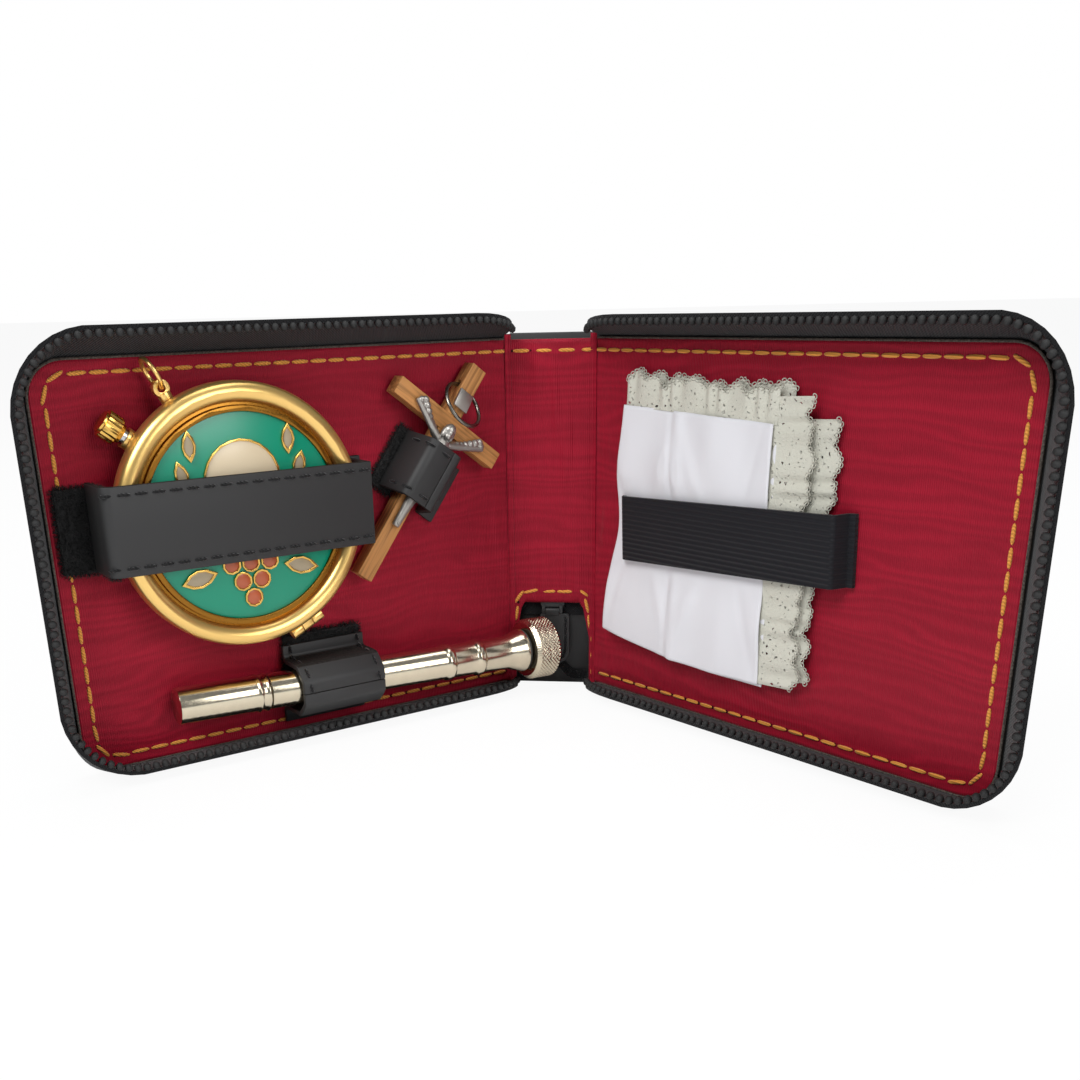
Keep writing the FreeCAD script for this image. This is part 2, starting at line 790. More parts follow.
def pyx_cup():
    base = PYX_LIFT
    body = around_pyx(
        [
            (0, base),
            (CUP_BASE_RADIUS, base),
            (CUP_RADIUS, CUP_SHOULDER),
            (CUP_RADIUS, CUP_HEIGHT),
            (0, CUP_HEIGHT),
        ],
        [0, CUP_ROUND, 0, 0, 0],
    )
    bowl = around_pyx(
        [
            (0, base + CUP_WALL),
            (CUP_BASE_RADIUS - CUP_WALL / 2, base + CUP_WALL),
            (CUP_BORE, CUP_SHOULDER + CUP_WALL / 2),
            (CUP_BORE, CUP_HEIGHT + 1),
            (0, CUP_HEIGHT + 1),
        ],
        [0, 0, 0, 0, 0],
    )
    half = KNUCKLE_LENGTH / 2
    inside = CUP_RADIUS - CUP_WALL / 2
    near = knuckle(half + SMALL_FIT, 3 * half, HINGE_H - KNUCKLE_RADIUS, HINGE_H - 0.3, inside)
    far = knuckle(-3 * half, -half - SMALL_FIT, HINGE_H - KNUCKLE_RADIUS, HINGE_H - 0.3, inside)
    swept = around_pyx(
        [
            (CUP_RADIUS - CUP_WALL, CUP_HEIGHT),
            (PYX_RADIUS + SMALL_FIT, CUP_HEIGHT),
            (PYX_RADIUS + SMALL_FIT, CUP_HEIGHT + 3),
            (CUP_RADIUS - CUP_WALL, CUP_HEIGHT + 3),
        ],
        [0, 0, 0, 0],
    )
    body = body.cut(bowl).fuse([near.cut(swept), far.cut(swept)])
    body = body.cut(hinge_bore(HINGE_PIN_RADIUS))
    stem_hole = rod(
        STEM_RADIUS + SMALL_FIT,
        pyx_place(CROWN_ANGLE, CUP_BORE - 3, CROWN_HEIGHT),
        pyx_place(CROWN_ANGLE, CUP_RADIUS + 1, CROWN_HEIGHT),
    )
    return body.cut(stem_hole).removeSplitter()


def pyx_hinge_pin():
    axis = radial(HINGE_ANGLE).cross(Y)
    middle = pyx_place(HINGE_ANGLE, HINGE_R, HINGE_H)
    reach = 1.5 * KNUCKLE_LENGTH
    return rod(HINGE_PIN_RADIUS - SMALL_FIT / 2, middle - axis * reach, middle + axis * reach)


def pyx_lid_bezel():
    """The rounded ring of the lid, with the skirt that seats in the cup and its knuckle."""
    skirt_r = CUP_BORE - SMALL_FIT * 2
    ring = around_pyx(
        [
            (BEZEL_INNER, LID_H),
            (skirt_r - SKIRT, LID_H),
            (skirt_r - SKIRT, LID_H - SKIRT_DROP),
            (skirt_r, LID_H - SKIRT_DROP),
            (skirt_r, LID_H),
            (PYX_RADIUS, LID_H),
            (PYX_RADIUS, LID_TOP),
            (BEZEL_INNER, LID_TOP),
        ],
        [0, 0, 0, 0, 0, 0, BEZEL_ROUND, BEZEL_ROUND],
    )
    half = KNUCKLE_LENGTH / 2 - SMALL_FIT
    inside = PYX_RADIUS - 1.2
    middle = knuckle(-half, half, HINGE_H + 0.3, HINGE_H + KNUCKLE_RADIUS, inside)
    room = rod(
        PYX_RADIUS - 1.5,
        PYX_CENTRE + Y * -(LID_H + 1),
        PYX_CENTRE + Y * -(LID_TOP + 1),
    )
    ring = ring.fuse(middle.cut(room))
    return ring.cut(hinge_bore(HINGE_PIN_RADIUS)).removeSplitter()


def pyx_lid_plate():
    low = LID_H + PLATE_LIFT
    return around_pyx(
        [
            (0, low),
            (BEZEL_INNER, low),
            (BEZEL_INNER, ENAMEL_H),
            (RIM_INNER + RIM_WIDTH, ENAMEL_H),
            (RIM_INNER + RIM_WIDTH, ENAMEL_H + RIM_HEIGHT),
            (RIM_INNER, ENAMEL_H + RIM_HEIGHT),
            (RIM_INNER, ENAMEL_H),
            (0, ENAMEL_H),
        ],
        [0] * 8,
    )


def pyx_enamel_ground():
    return rod(RIM_INNER, PYX_CENTRE + Y * -ENAMEL_H, PYX_CENTRE + Y * -MOTIF_H)


def disc_cell(x, z, radius):
    """Enamel and gold wall of a round cell, at a place seen from in front of the left cover."""
    middle = vec(PYX_X - x, -MOTIF_H, PYX_Z + z)
    sides = max(10, int(2.8 * radius))
    fill = bar(radius - CELL_WALL, sides, middle, middle - Y * CELL_ENAMEL)
    wall = bar(radius, sides, middle, middle - Y * CELL_HEIGHT)
    bore = bar(radius - CELL_WALL, sides, middle, middle - Y * CELL_HEIGHT)
    return fill, wall.cut(bore)


def leaf_face(x, z, angle, length, width):
    """A pointed leaf, with its foot at x, z."""
    turn = math.radians(angle)
    along = vec(-math.cos(turn), 0, math.sin(turn))
    across = vec(math.sin(turn), 0, math.cos(turn))
    foot = vec(PYX_X - x, -MOTIF_H, PYX_Z + z)
    edge = [(0.0, 0.0), (0.25, 0.38), (0.5, 0.5), (0.75, 0.38)]
    line = edge + [(1 - a, -b) for a, b in edge]
    return Part.Face(closed([foot + along * (a * length) + across * (b * width) for a, b in line]))


def leaf_cell(x, z, angle, length, width):
    turn = math.radians(angle)
    outer = leaf_face(x, z, angle, length, width)
    shift = CELL_WALL * length / width
    inner = leaf_face(
        x + shift * math.cos(turn),
        z + shift * math.sin(turn),
        angle,
        length - 2 * shift,
        width - 2 * CELL_WALL,
    )
    fill = inner.extrude(Y * -CELL_ENAMEL)
    wall = outer.extrude(Y * -CELL_HEIGHT).cut(inner.extrude(Y * -CELL_HEIGHT))
    return fill, wall


HOST_RADIUS = 8.6
HOST_Z = 7.6
GRAPE_RADIUS = 2.1
WHEAT_LENGTH = 6.4
WHEAT_WIDTH = 3.0


def host_cells():
    return [disc_cell(0, HOST_Z, HOST_RADIUS)]


def grape_cells():
    """A bunch of grapes in three rows that narrows downwards."""
    cells = []
    pitch = 2 * GRAPE_RADIUS + 0.15
    for row, count in enumerate((3, 2, 1)):
        for i in range(count):
            x = (i - (count - 1) / 2) * pitch
            cells.append(disc_cell(x, -9.6 - row * pitch * 0.87, GRAPE_RADIUS))
    return cells


def wheat_cells():
    """Two ears of wheat that rise beside the host, and two leaves beside the grapes."""
    cells = []
    for side in (-1, 1):
        for i in range(3):
            angle = 62 + 13 * i
            x = side * (13.6 - 1.4 * i)
            z = 1.0 + 5.6 * i
            lean = angle if side > 0 else 180 - angle
            cells.append(leaf_cell(x, z, lean, WHEAT_LENGTH, WHEAT_WIDTH))
        foot = side * 7.6
        lean = -12 if side > 0 else 192
        cells.append(leaf_cell(foot, -10.8, lean, WHEAT_LENGTH * 1.3, WHEAT_WIDTH * 1.3))
    return cells


def pyx_enamel_host():
    return Part.makeCompound([fill for fill, _ in host_cells()])


def pyx_enamel_grapes():
    return Part.makeCompound([fill for fill, _ in grape_cells()])


def pyx_enamel_wheat():
    return Part.makeCompound([fill for fill, _ in wheat_cells()])


def pyx_lid_cells():
    """The gold walls that part one enamel from the next."""
    return Part.makeCompound([wall for _, wall in host_cells() + grape_cells() + wheat_cells()])


def pyx_stem_tube():
    inner = pyx_place(CROWN_ANGLE, CUP_RADIUS - CUP_WALL / 2, CROWN_HEIGHT)
    outer = pyx_place(CROWN_ANGLE, CUP_RADIUS + STEM_TUBE_LENGTH, CROWN_HEIGHT)
    tube = rod(STEM_TUBE_RADIUS, inner, outer)
    bore = rod(STEM_TUBE_RADIUS - STEM_TUBE_WALL, inner, outer)
    cup = rod(CUP_RADIUS, PYX_CENTRE, PYX_CENTRE + Y * -CUP_HEIGHT)
    return tube.cut(bore).cut(cup)


def crown_start():
    return CUP_RADIUS + STEM_TUBE_LENGTH + CROWN_TRAVEL + SMALL_FIT


def pyx_crown():
    """The serrated button, its stepped collar and its stem."""
    start = crown_start()
    collar_end = start + CROWN_COLLAR
    crown_end = collar_end + CROWN_LENGTH
    collar = rod(
        CROWN_COLLAR_RADIUS,
        pyx_place(CROWN_ANGLE, start, CROWN_HEIGHT),
        pyx_place(CROWN_ANGLE, collar_end, CROWN_HEIGHT),
    )
    grip = toothed(
        CROWN_RADIUS,
        0.25,
        CROWN_TEETH,
        pyx_place(CROWN_ANGLE, collar_end, CROWN_HEIGHT),
        pyx_place(CROWN_ANGLE, crown_end, CROWN_HEIGHT),
    )
    cap = rod(
        CROWN_RADIUS - 0.7,
        pyx_place(CROWN_ANGLE, crown_end, CROWN_HEIGHT),
        pyx_place(CROWN_ANGLE, crown_end + 0.5, CROWN_HEIGHT),
    )
    stem = rod(
        STEM_RADIUS,
        pyx_place(CROWN_ANGLE, latch_r(), CROWN_HEIGHT),
        pyx_place(CROWN_ANGLE, start, CROWN_HEIGHT),
    )
    return collar.fuse([grip, cap, stem]).removeSplitter()


def latch_r():
    """Distance of the latch's outer face from the pyx's centre, just inside the lid's skirt."""
    return CUP_BORE - SMALL_FIT * 3 - SKIRT - SMALL_FIT


def pyx_latch():
    """The catch on the inner end of the stem, which the button draws away from the skirt."""
    out = radial(CROWN_ANGLE)
    across = out.cross(Y)
    low = CROWN_HEIGHT - STEM_RADIUS / 2
    start = pyx_place(CROWN_ANGLE, latch_r() - LATCH_THICKNESS, low)
    corners = [
        start - across * (LATCH_WIDTH / 2),
        start + across * (LATCH_WIDTH / 2),
        start + across * (LATCH_WIDTH / 2) + out * LATCH_THICKNESS,
        start - across * (LATCH_WIDTH / 2) + out * LATCH_THICKNESS,
    ]
    return Part.Face(Part.makePolygon(corners + corners[:1])).extrude(Y * -LATCH_HEIGHT)


def pyx_crown_spring():
    """The coil spring round the stem, as the tube that it fills."""
    inner = pyx_place(CROWN_ANGLE, CUP_RADIUS + SMALL_FIT, CROWN_HEIGHT)
    outer = pyx_place(CROWN_ANGLE, crown_start(), CROWN_HEIGHT)
    body = rod(STEM_TUBE_RADIUS - STEM_TUBE_WALL - SMALL_FIT, inner, outer)
    return body.cut(rod(STEM_RADIUS + SMALL_FIT, inner, outer))


def bow_eye_r():
    return CUP_RADIUS + BOW_POST_LENGTH + BOW_EYE_RADIUS * 0.8


def pyx_bow_post():
    """The post on the cup's side, with the eye that the bow hangs in."""
    inner = pyx_place(BOW_ANGLE, CUP_RADIUS - CUP_WALL / 2, BOW_HEIGHT)
    eye = pyx_place(BOW_ANGLE, bow_eye_r(), BOW_HEIGHT)
    half = Y * (BOW_EYE_THICKNESS / 2)
    post = rod(BOW_POST_RADIUS, inner, eye - radial(BOW_ANGLE) * (BOW_EYE_RADIUS * 0.6))
    head = rod(BOW_EYE_RADIUS, eye - half, eye + half)
    hole = rod(BOW_EYE_HOLE, eye - Y * BOW_EYE_RADIUS, eye + Y * BOW_EYE_RADIUS)
    cup = rod(CUP_RADIUS, PYX_CENTRE, PYX_CENTRE + Y * -CUP_HEIGHT)
    return post.fuse(head).cut(hole).cut(cup).removeSplitter()


def pyx_bow():
    middle = pyx_place(BOW_ANGLE, bow_eye_r() + BOW_RADIUS, BOW_HEIGHT)
    across = radial(BOW_ANGLE).cross(Y)
    return wire_ring(BOW_RADIUS, BOW_WIRE, middle, across)


# Strap over the pyx

STRAP_UNDER = LID_TOP + STRAP_CLEARANCE
PYX_STRAP_Z = PYX_Z + PYX_STRAP_RISE - PYX_STRAP_WIDTH / 2
PYX_STRAP_ROOT = PYX_X - PYX_RADIUS - STRAP_CLEARANCE - STRAP
PYX_STRAP_FREE = PYX_X + PYX_RADIUS + 2 * STRAP_CLEARANCE + PATCH
PYX_FLAP_X = PYX_STRAP_ROOT


def at_height(z):
    """A place in a section across the cover, for a point given as (x, h)."""
    return lambda p: vec(p[0], -p[1], z)


def pyx_strap_root():
    """The sewn end of the strap: a foot on the lining and the wall beside the pyx."""
    middle = PYX_STRAP_ROOT + STRAP / 2
    line = [(middle - 4.0, STRAP / 2), (middle, STRAP / 2), (middle, STRAP_UNDER - SMALL_FIT)]
    along = Z * PYX_STRAP_WIDTH
    return ribbon(line, STRAP, STRAP, at_height(PYX_STRAP_Z), along)


def pyx_strap_flap():
    """The loose end of the strap, over the pyx and down its far side."""
    high = STRAP_UNDER + STRAP / 2
    free = PYX_STRAP_FREE + STRAP / 2
    line = [(PYX_FLAP_X, high), (free, high), (free, 1.5 * PATCH + SMALL_FIT)]
    along = Z * PYX_STRAP_WIDTH
    return ribbon(line, PYX_STRAP_BEND, STRAP, at_height(PYX_STRAP_Z), along)


def pyx_strap_patch():
    """The hook-and-loop piece: sewn to the lining, and up the pyx's side under the strap."""
    wall = PYX_STRAP_FREE - PATCH / 2 - SMALL_FIT
    line = [
        (wall + PATCH_REACH, PATCH / 2),
        (wall, PATCH / 2),
        (wall, STRAP_UNDER - PYX_STRAP_BEND + STRAP / 2),
    ]
    return ribbon(line, PATCH, PATCH, at_height(PYX_STRAP_Z - 0.4), Z * (PYX_STRAP_WIDTH - 0.8))


# Crucifix, upright with its top at the origin, then turned into place


def place_cross(shape):
    shape = shape.copy()
    shape.rotate(ORIGIN, Y, -CROSS_TILT)
    shape.translate(vec(CROSS_TOP_X, 0, CROSS_TOP_Z))
    return shape


def crucifix_upright():
    half = BAR_WIDTH / 2
    body = block(-half, half, -CROSS_LIFT - BAR_THICKNESS, -CROSS_LIFT, -UPRIGHT_LENGTH, 0)
    lap = block(
        -half,
        half,
        -CROSS_LIFT - BAR_THICKNESS,
        -CROSS_LIFT - BAR_THICKNESS / 2,
        -CROSSBAR_DROP - half,
        -CROSSBAR_DROP + half,
    )
    middle = -CROSS_LIFT - BAR_THICKNESS / 2
    hole = rod(
        RING_HOLE_RADIUS, vec(-half, middle, -RING_HOLE_DROP), vec(half, middle, -RING_HOLE_DROP)
    )
    pins = corpus_pin_shapes()
    return place_cross(body.cut(lap).cut(hole).cut(pins[2]))


def crucifix_crossbar():
    half = CROSSBAR_LENGTH / 2
    wide = BAR_WIDTH / 2
    low = -CROSSBAR_DROP - wide
    body = block(
        -half, half, -CROSS_LIFT - BAR_THICKNESS, -CROSS_LIFT, low, low + BAR_WIDTH
    )
    lap = block(
        -wide, wide, -CROSS_LIFT - BAR_THICKNESS / 2, -CROSS_LIFT, low, low + BAR_WIDTH
    )
    pins = corpus_pin_shapes()
    return place_cross(body.cut(lap).cut(pins[0]).cut(pins[1]))


def wood_face():
    return CROSS_LIFT + BAR_THICKNESS


def corpus_pin_shapes():
    """Pins through the two hands and the feet, driven into the wood."""
    pins = []
    for x, z in ((-HAND_REACH, -CROSSBAR_DROP), (HAND_REACH, -CROSSBAR_DROP), (0, -FEET_DROP)):
        tip = vec(x, -wood_face() + 1.6, z)
        pins.append(bar(CORPUS_PIN, WIRE_SIDES, tip, vec(x, -wood_face() - 1.7, z)))
    return pins


def corpus_pins():
    return place_cross(Part.makeCompound(corpus_pin_shapes()))


def limb(sections):
    """A trunk lofted through figures given as (x, z, height of middle, radius, flatness)."""
    wires = []
    for x, z, h, radius, flatness in sections:
        wires.append(closed(polygon(radius, LIMB_SIDES, vec(x, -h, z), X, Y * flatness)))
    return Part.makeLoft(wires, True, True)


def arm(start, end, thick, thin):
    """An arm that narrows to its wrist."""
    axis = (end - start).normalize()
    one = sideways(axis)
    other = axis.cross(one)
    wires = [
        closed(polygon(radius, LIMB_SIDES, middle, one, other))
        for radius, middle in ((thick, start), (thin, end))
    ]
    return Part.makeLoft(wires, True, True)


LIMB_SIDES = 8
SHOULDER = 0.85
WRIST = 0.6
PALM = 0.5
HEAD = 1.5
HEAD_FORM = ((-1.0, 0.45), (-0.6, 0.85), (0.1, 1.0), (0.7, 0.8), (1.0, 0.4))


def corpus():
    """The figure in plain masses: trunk and legs, two arms and a bowed head."""
    face = wood_face()
    seat = face + 0.05
    torso = limb(
        [
            (0, -FEET_DROP - 0.8, seat + 0.75, 0.9, 0.8),
            (0, -FEET_DROP + 3, seat + 1.0, 1.0, 0.9),
            (0, -FEET_DROP + 9.5, seat + 1.5, 1.7, 0.8),
            (0, -HEAD_DROP - 10.2, seat + 1.5, 1.9, 0.72),
            (0, -HEAD_DROP - 7.0, seat + 1.4, 1.55, 0.75),
            (0, -HEAD_DROP - 3.2, seat + 1.5, 2.2, 0.6),
            (0, -HEAD_DROP - 1.2, seat + 1.5, 0.9, 0.9),
        ]
    )
    parts = []
    for side in (-1, 1):
        shoulder = vec(side * 1.6, -seat - 1.5, -HEAD_DROP - 2.6)
        hand = vec(side * (HAND_REACH + 0.4), -seat - 0.7, -CROSSBAR_DROP)
        parts.append(arm(shoulder, hand + X * (side * PALM), SHOULDER, WRIST))
    head = limb(
        [
            (0.35, -HEAD_DROP + share * HEAD, seat + 2.1, HEAD * wide, 1.0)
            for share, wide in HEAD_FORM
        ]
    )
    body = torso.fuse(parts + [head])
    for pin in corpus_pin_shapes():
        body = body.cut(pin)
    return place_cross(body.removeSplitter())


def crucifix_plaque():
    """The small bare plate, which stands off the wood at its lower end."""
    plate = block(-PLAQUE_WIDTH / 2, PLAQUE_WIDTH / 2, -PLAQUE, 0, -PLAQUE_LENGTH, 0)
    plate.rotate(ORIGIN, X, -PLAQUE_TIP)
    plate.translate(vec(0, -wood_face() - SMALL_FIT / 5, -PLAQUE_DROP))
    return place_cross(plate)


def crucifix_ring():
    middle_h = CROSS_LIFT + BAR_THICKNESS / 2
    stand = math.radians(RING_STANDS)
    out = vec(0, -math.sin(stand), -math.cos(stand))
    middle = vec(0, -middle_h, -RING_HOLE_DROP) + out * RING_RADIUS
    return place_cross(wire_ring(RING_RADIUS, RING_WIRE, middle, X.cross(out)))


CROSS_LOOP_Z = -CROSS_LOOP_DROP - CROSS_LOOP_WIDTH
CROSS_LOOP_TOP = CROSS_LOOP_HEIGHT + STRAP / 2
CROSS_LOOP_LEFT = CROSS_LOOP_HALF + 2.2
CROSS_LOOP_PIVOT = 1.9 - CROSS_LOOP_HALF


def crucifix_loop_root():
    """The sewn end of the small strap, from its foot up the right side of the figure."""
    line = [
        (-CROSS_LOOP_HALF - 7.2, STRAP / 2),
        (-CROSS_LOOP_HALF - 2.6, STRAP / 2),
        (-CROSS_LOOP_HALF, CROSS_LOOP_TOP),
        (CROSS_LOOP_PIVOT, CROSS_LOOP_TOP),
    ]
    shape = ribbon(line, 0.8, STRAP, at_height(CROSS_LOOP_Z), Z * CROSS_LOOP_WIDTH)
    return place_cross(shape)


def crucifix_loop_flap():
    line = [
        (CROSS_LOOP_PIVOT + SMALL_FIT, CROSS_LOOP_TOP),
        (CROSS_LOOP_HALF, CROSS_LOOP_TOP),
        (CROSS_LOOP_LEFT, PATCH + SMALL_FIT),
    ]
    shape = ribbon(line, 1.6, STRAP, at_height(CROSS_LOOP_Z), Z * CROSS_LOOP_WIDTH)
    level = block(-60, 60, -(PATCH + SMALL_FIT), 5, -100, 20)
    return place_cross(shape.cut(level))


def crucifix_loop_patch():
    x0 = BAR_WIDTH / 2 + 0.4
    patch = block(
        x0, CROSS_LOOP_LEFT + 2.4, -PATCH, 0, CROSS_LOOP_Z - 0.6, CROSS_LOOP_Z + CROSS_LOOP_WIDTH
    )
    return place_cross(patch)


# Sprinkler, along its own axis


def sprinkler_axis():
    fall = math.radians(SPRINKLER_FALL)
    rise = math.radians(SPRINKLER_RISE)
    return vec(-1, -math.tan(rise), -math.tan(fall)).normalize()


SPRINKLER_HEAD = vec(SPRINKLER_HEAD_X, -SPRINKLER_HEAD_H, SPRINKLER_HEAD_Z)
SPRINKLER_END = SPRINKLER_HEAD - sprinkler_axis() * SPRINKLER_LENGTH


def along_sprinkler(distance):
    return SPRINKLER_END + sprinkler_axis() * distance


def sprinkler_turned(points, radii):
    """A solid of revolution from (radius, distance along the sprinkler) points."""
    axis = sprinkler_axis()
    return turned(points, radii, SPRINKLER_END, axis, axis.cross(X).normalize())


def sprinkler_barrel():
    """The hollow barrel, with its spigot for the cap, two raised bands and flared neck."""
    spigot = TUBE_RADIUS - TUBE_WALL - SPIGOT_FIT
    bore = spigot - TUBE_WALL
    line = [(spigot, CAP_LENGTH - SPIGOT_LENGTH), (spigot, CAP_LENGTH + SMALL_FIT)]
    line.append((TUBE_RADIUS, CAP_LENGTH + SMALL_FIT))
    for place in BAND_PLACES:
        line += [
            (TUBE_RADIUS, place - BAND_WIDTH),
            (TUBE_RADIUS + BAND_PROUD, place - BAND_WIDTH / 2),
            (TUBE_RADIUS + BAND_PROUD, place + BAND_WIDTH / 2),
            (TUBE_RADIUS, place + BAND_WIDTH),
        ]
    line += [(TUBE_RADIUS, NECK_START), (NECK_RADIUS, NECK_END)]
    line += [(bore, NECK_END), (bore, CAP_LENGTH - SPIGOT_LENGTH)]
    return sprinkler_turned(line, [0] * len(line))


def sprinkler_rose():
    """The pierced tip that closes the spigot, hidden by the cap."""
    bore = TUBE_RADIUS - 2 * TUBE_WALL - SPIGOT_FIT
    foot = CAP_LENGTH - SPIGOT_LENGTH
    body = sprinkler_turned(
        [
            (0, foot - ROSE_LENGTH),
            (bore * 0.6, foot - ROSE_LENGTH),
            (bore + TUBE_WALL, foot - 1),
            (bore + TUBE_WALL, foot),
            (bore, foot),
            (bore, foot + 2),
            (0, foot + 2),
        ],
        [0] * 7,
    )
    axis = sprinkler_axis()
    out = axis.cross(X).normalize()
    for i in range(ROSE_HOLES):
        turn = FreeCAD.Rotation(axis, 360.0 * i / ROSE_HOLES)
        side = turn.multVec(out) * (bore * 0.4)
        start = along_sprinkler(foot - ROSE_LENGTH - 1) + side
        body = body.cut(bar(ROSE_HOLE_RADIUS, WIRE_SIDES, start, start + axis * (ROSE_LENGTH + 4)))
    return body


def sprinkler_cap():
    """The slip-on cap over the rose, with a bead at its mouth."""
    bead = TUBE_RADIUS + CAP_BEAD
    inner = TUBE_RADIUS - TUBE_WALL
    return sprinkler_turned(
        [
            (0, 0),
            (TUBE_RADIUS, 0),
            (TUBE_RADIUS, CAP_LENGTH - 3.2),
            (bead, CAP_LENGTH - 2.6),
            (TUBE_RADIUS, CAP_LENGTH - 2.0),
            (TUBE_RADIUS, CAP_LENGTH - 1.2),
            (bead, CAP_LENGTH - 0.6),
            (TUBE_RADIUS, CAP_LENGTH),
            (inner, CAP_LENGTH),
            (inner, TUBE_WALL * 2),
            (0, TUBE_WALL * 2),
        ],
        [0] * 11,
    )


def sprinkler_washer():
    bore = TUBE_RADIUS - 2 * TUBE_WALL - SPIGOT_FIT
    return sprinkler_turned(
        [
            (bore, NECK_END),
            (NECK_RADIUS - 0.3, NECK_END),
            (NECK_RADIUS - 0.3, NECK_END + WASHER),
            (bore, NECK_END + WASHER),
        ],
        [0, 0, 0, 0],
    )


def sprinkler_filler():
    """The serrated head that unscrews for filling, with its plug in the barrel's mouth."""
    start = NECK_END + WASHER
    plug = TUBE_RADIUS - 2 * TUBE_WALL - 2 * SPIGOT_FIT
    grip = toothed(
        FILLER_RADIUS,
        FILLER_TOOTH,
        FILLER_TEETH,
        along_sprinkler(start),
        along_sprinkler(SPRINKLER_LENGTH),
    )
    form = sprinkler_turned(
        [
            (0, start),
            (FILLER_RADIUS - FILLER_CHAMFER, start),
            (FILLER_RADIUS + 0.1, start + FILLER_CHAMFER),
            (FILLER_RADIUS + 0.1, SPRINKLER_LENGTH - FILLER_CHAMFER),
            (FILLER_RADIUS - FILLER_CHAMFER, SPRINKLER_LENGTH),
            (0, SPRINKLER_LENGTH),
        ],
        [0, 0, 0, 0, 0, 0],
    )
    stem = rod(plug, along_sprinkler(start - WASHER - PLUG_LENGTH), along_sprinkler(start))
    return grip.common(form).fuse(stem).removeSplitter()


SPRINKLER_LOOP_END = SPRINKLER_LOOP_X + SPRINKLER_LOOP_WIDTH


def loop_axis_point():
    """The sprinkler's middle line at the middle of its strap, as (z, h)."""
    axis = sprinkler_axis()
    reach = (SPRINKLER_LOOP_X + SPRINKLER_LOOP_WIDTH / 2 - SPRINKLER_END.x) / axis.x
    point = along_sprinkler(reach)
    return point.z, -point.y


def loop_line():
    """Section of the sprinkler's strap: foot, round the barrel and down to the patch."""
    z, h = loop_axis_point()
    gap = TUBE_RADIUS + STRAP / 2 + STRAP_CLEARANCE + 0.6
    flat_half = gap * 0.45
    return [
        (SPRINKLER_LOOP_FOOT, STRAP / 2),
        (z - gap, STRAP / 2),
        (z - gap, h + flat_half),
        (z - flat_half, h + gap),
        (z + flat_half, h + gap),
        (z + gap, h + flat_half),
        (z + gap, PATCH + SMALL_FIT + STRAP / 2),
        (SPRINKLER_PATCH_TOP - 1.8, PATCH + SMALL_FIT + STRAP / 2),
    ]


def across_sprinkler(p):
    """A place in a section along the cover, for a point given as (z, h)."""
    return vec(SPRINKLER_LOOP_X, -p[1], p[0])


def loop_pivot():
    """Where the sprinkler's strap bends when it is peeled open, as (z, h)."""
    line = loop_line()
    return (line[3][0] + line[4][0]) / 2, line[3][1] + STRAP / 2


def sprinkler_loop_root():
    line = loop_line()
    line = line[:4] + [(loop_pivot()[0] - SMALL_FIT / 2, line[3][1])]
    return ribbon(line, 1.5, STRAP, across_sprinkler, X * SPRINKLER_LOOP_WIDTH)


def sprinkler_loop_flap():
    line = loop_line()
    line = [(loop_pivot()[0] + SMALL_FIT / 2, line[3][1])] + line[4:]
    return ribbon(line, 1.5, STRAP, across_sprinkler, X * SPRINKLER_LOOP_WIDTH)


def sprinkler_loop_patch():
    z, _ = loop_axis_point()
    return block(
        SPRINKLER_LOOP_X + 0.4, SPRINKLER_LOOP_END - 1.0, -PATCH, 0, z + 1, SPRINKLER_PATCH_TOP
    )


# Linen under its elastic

LINEN_OUTLINE = (
    (7.0, 17.5),
    (68.2, 13.6),
    (71.0, 36.0),
    (68.6, 38.6),
    (75.1, 56.8),
    (69.0, 74.8),
    (65.0, 78.7),
    (13.9, 79.7),
    (12.4, 55.0),
    (16.0, 53.0),
    (16.0, 35.0),
    (9.4, 32.5),
)
LINEN_ROUND = 1.2


def linen_cloth():
    """The folded linen as one slab, drawn in at its left edge where the elastic grips it."""
    radii = [LINEN_ROUND] * len(LINEN_OUTLINE)
    return prism(LINEN_OUTLINE, radii, flat(LINEN_LIFT), Y * -LINEN_THICKNESS)


def elastic_band():
    """The woven elastic: sewn down at both ends and drawn over the linen between them."""
    over = LINEN_LIFT + LINEN_THICKNESS + SMALL_FIT + ELASTIC / 2
    low = ELASTIC / 2
    line = [
        (ELASTIC_START, low),
        (ELASTIC_START + ELASTIC_RAMP * 0.5, low),
        (ELASTIC_START + ELASTIC_RAMP * 1.3, over),
        (ELASTIC_END - ELASTIC_RAMP * 0.5, over),
        (ELASTIC_END - ELASTIC_RAMP * 0.2, low),
        (ELASTIC_END + ELASTIC_RAMP * 0.3, low),
    ]
    band = ribbon(line, ELASTIC * 0.6, ELASTIC, at_height(ELASTIC_Z), Z * ELASTIC_WIDTH)
    band.rotate(vec(ELASTIC_START, 0, ELASTIC_Z), Y, -ELASTIC_TILT)
    return band


SPINE_PARTS = {
    "spine_leather": spine_leather,
    "spine_board": spine_board,
    "spine_foam": spine_foam,
    "spine_lining": spine_lining,
    "zip_tail_tape": zip_tail_tape,
    "zip_lead_left": lambda: zip_lead(-1),
    "zip_lead_right": lambda: zip_lead(1),
    "zip_slider": zip_slider,
    "zip_pull_pin": zip_pull_pin,
    "zip_pull_tab": zip_pull_tab,
}

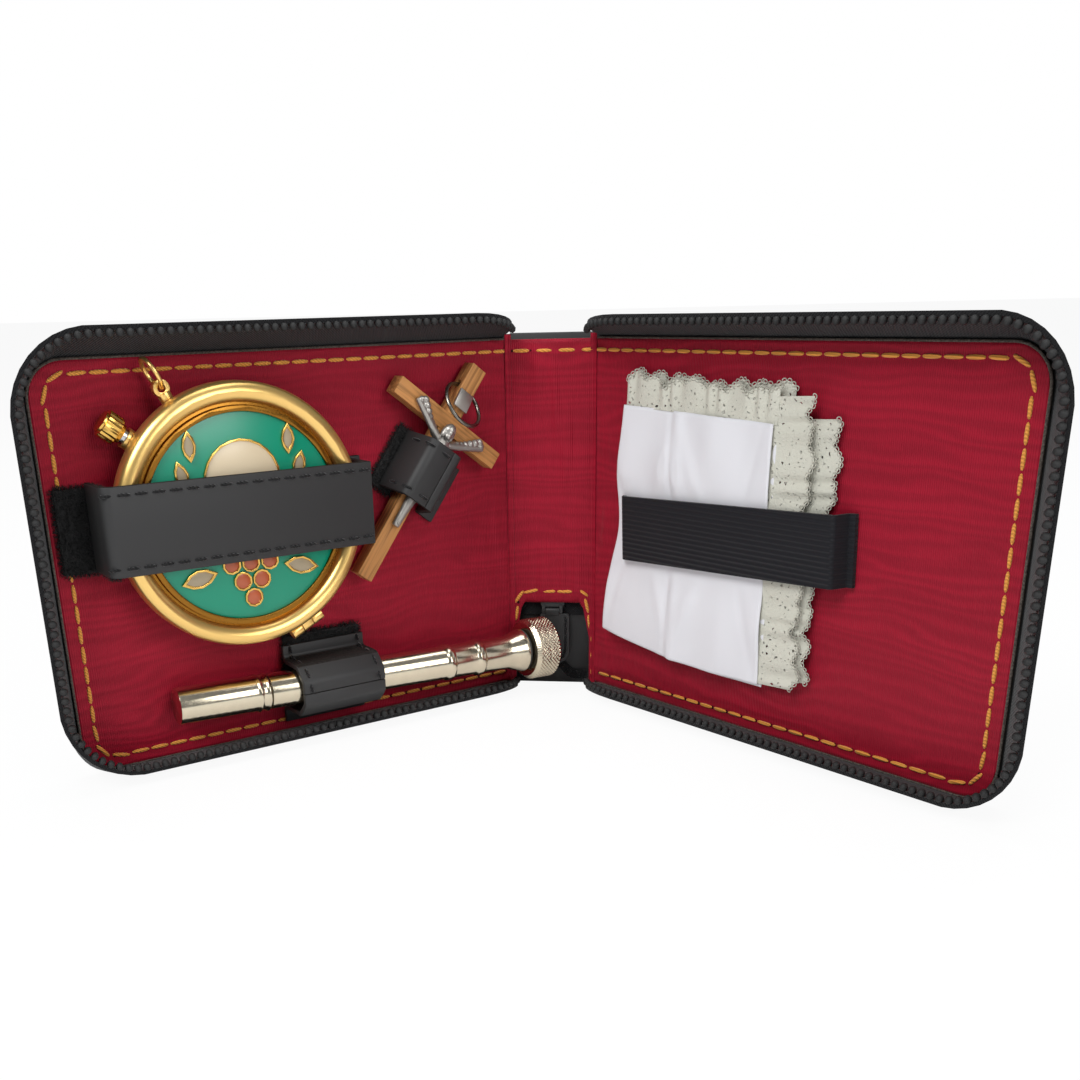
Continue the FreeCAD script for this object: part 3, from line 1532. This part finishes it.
LEFT_PARTS = {
    "left_leather": cover_leather,
    "left_board": cover_board,
    "left_foam": cover_foam,
    "left_lining": cover_lining,
    "left_zip_tape": LEFT_WALL.tape,
    "left_zip_teeth": LEFT_WALL.teeth,
    "pyx_cup": pyx_cup,
    "pyx_hinge_pin": pyx_hinge_pin,
    "pyx_stem_tube": pyx_stem_tube,
    "pyx_crown": pyx_crown,
    "pyx_latch": pyx_latch,
    "pyx_crown_spring": pyx_crown_spring,
    "pyx_bow_post": pyx_bow_post,
    "pyx_bow": pyx_bow,
    "pyx_lid_bezel": pyx_lid_bezel,
    "pyx_lid_plate": pyx_lid_plate,
    "pyx_lid_cells": pyx_lid_cells,
    "pyx_enamel_ground": pyx_enamel_ground,
    "pyx_enamel_host": pyx_enamel_host,
    "pyx_enamel_wheat": pyx_enamel_wheat,
    "pyx_enamel_grapes": pyx_enamel_grapes,
    "pyx_strap_root": pyx_strap_root,
    "pyx_strap_flap": pyx_strap_flap,
    "pyx_strap_patch": pyx_strap_patch,
    "crucifix_upright": crucifix_upright,
    "crucifix_crossbar": crucifix_crossbar,
    "crucifix_plaque": crucifix_plaque,
    "crucifix_ring": crucifix_ring,
    "corpus": corpus,
    "corpus_pins": corpus_pins,
    "crucifix_loop_root": crucifix_loop_root,
    "crucifix_loop_flap": crucifix_loop_flap,
    "crucifix_loop_patch": crucifix_loop_patch,
    "sprinkler_barrel": sprinkler_barrel,
    "sprinkler_rose": sprinkler_rose,
    "sprinkler_cap": sprinkler_cap,
    "sprinkler_washer": sprinkler_washer,
    "sprinkler_filler": sprinkler_filler,
    "sprinkler_loop_root": sprinkler_loop_root,
    "sprinkler_loop_flap": sprinkler_loop_flap,
    "sprinkler_loop_patch": sprinkler_loop_patch,
}

RIGHT_PARTS = {
    "right_leather": cover_leather,
    "right_board": cover_board,
    "right_foam": cover_foam,
    "right_lining": cover_lining,
    "right_zip_tape": RIGHT_WALL.tape,
    "right_zip_teeth": RIGHT_WALL.teeth,
    "linen_cloth": linen_cloth,
    "elastic_band": elastic_band,
}


def fold_left(shape):
    shape = shape.mirror(ORIGIN, X)
    shape.translate(X * -HALF_SPINE)
    shape.rotate(X * -HALF_SPINE, Z, FOLD)
    return shape


def fold_right(shape):
    shape = shape.copy()
    shape.translate(X * HALF_SPINE)
    shape.rotate(X * HALF_SPINE, Z, -FOLD)
    return shape


def build():
    """Every part at rest, in the frame whose origin is the middle of the case's footprint."""
    shapes = {name: make() for name, make in SPINE_PARTS.items()}
    shapes.update({name: fold_left(make()) for name, make in LEFT_PARTS.items()})
    shapes.update({name: fold_right(make()) for name, make in RIGHT_PARTS.items()})
    box = FreeCAD.BoundBox()
    for shape in shapes.values():
        box.add(shape.optimalBoundingBox(False))
    shift = vec(-(box.XMin + box.XMax) / 2, -(box.YMin + box.YMax) / 2, -box.ZMin)
    for shape in shapes.values():
        shape.translate(shift)
    return shapes, shift


def main():
    os.makedirs("parts", exist_ok=True)
    shapes, _ = build()
    for name, shape in shapes.items():
        shape.exportStep(os.path.join("parts", name + ".step"))


main()
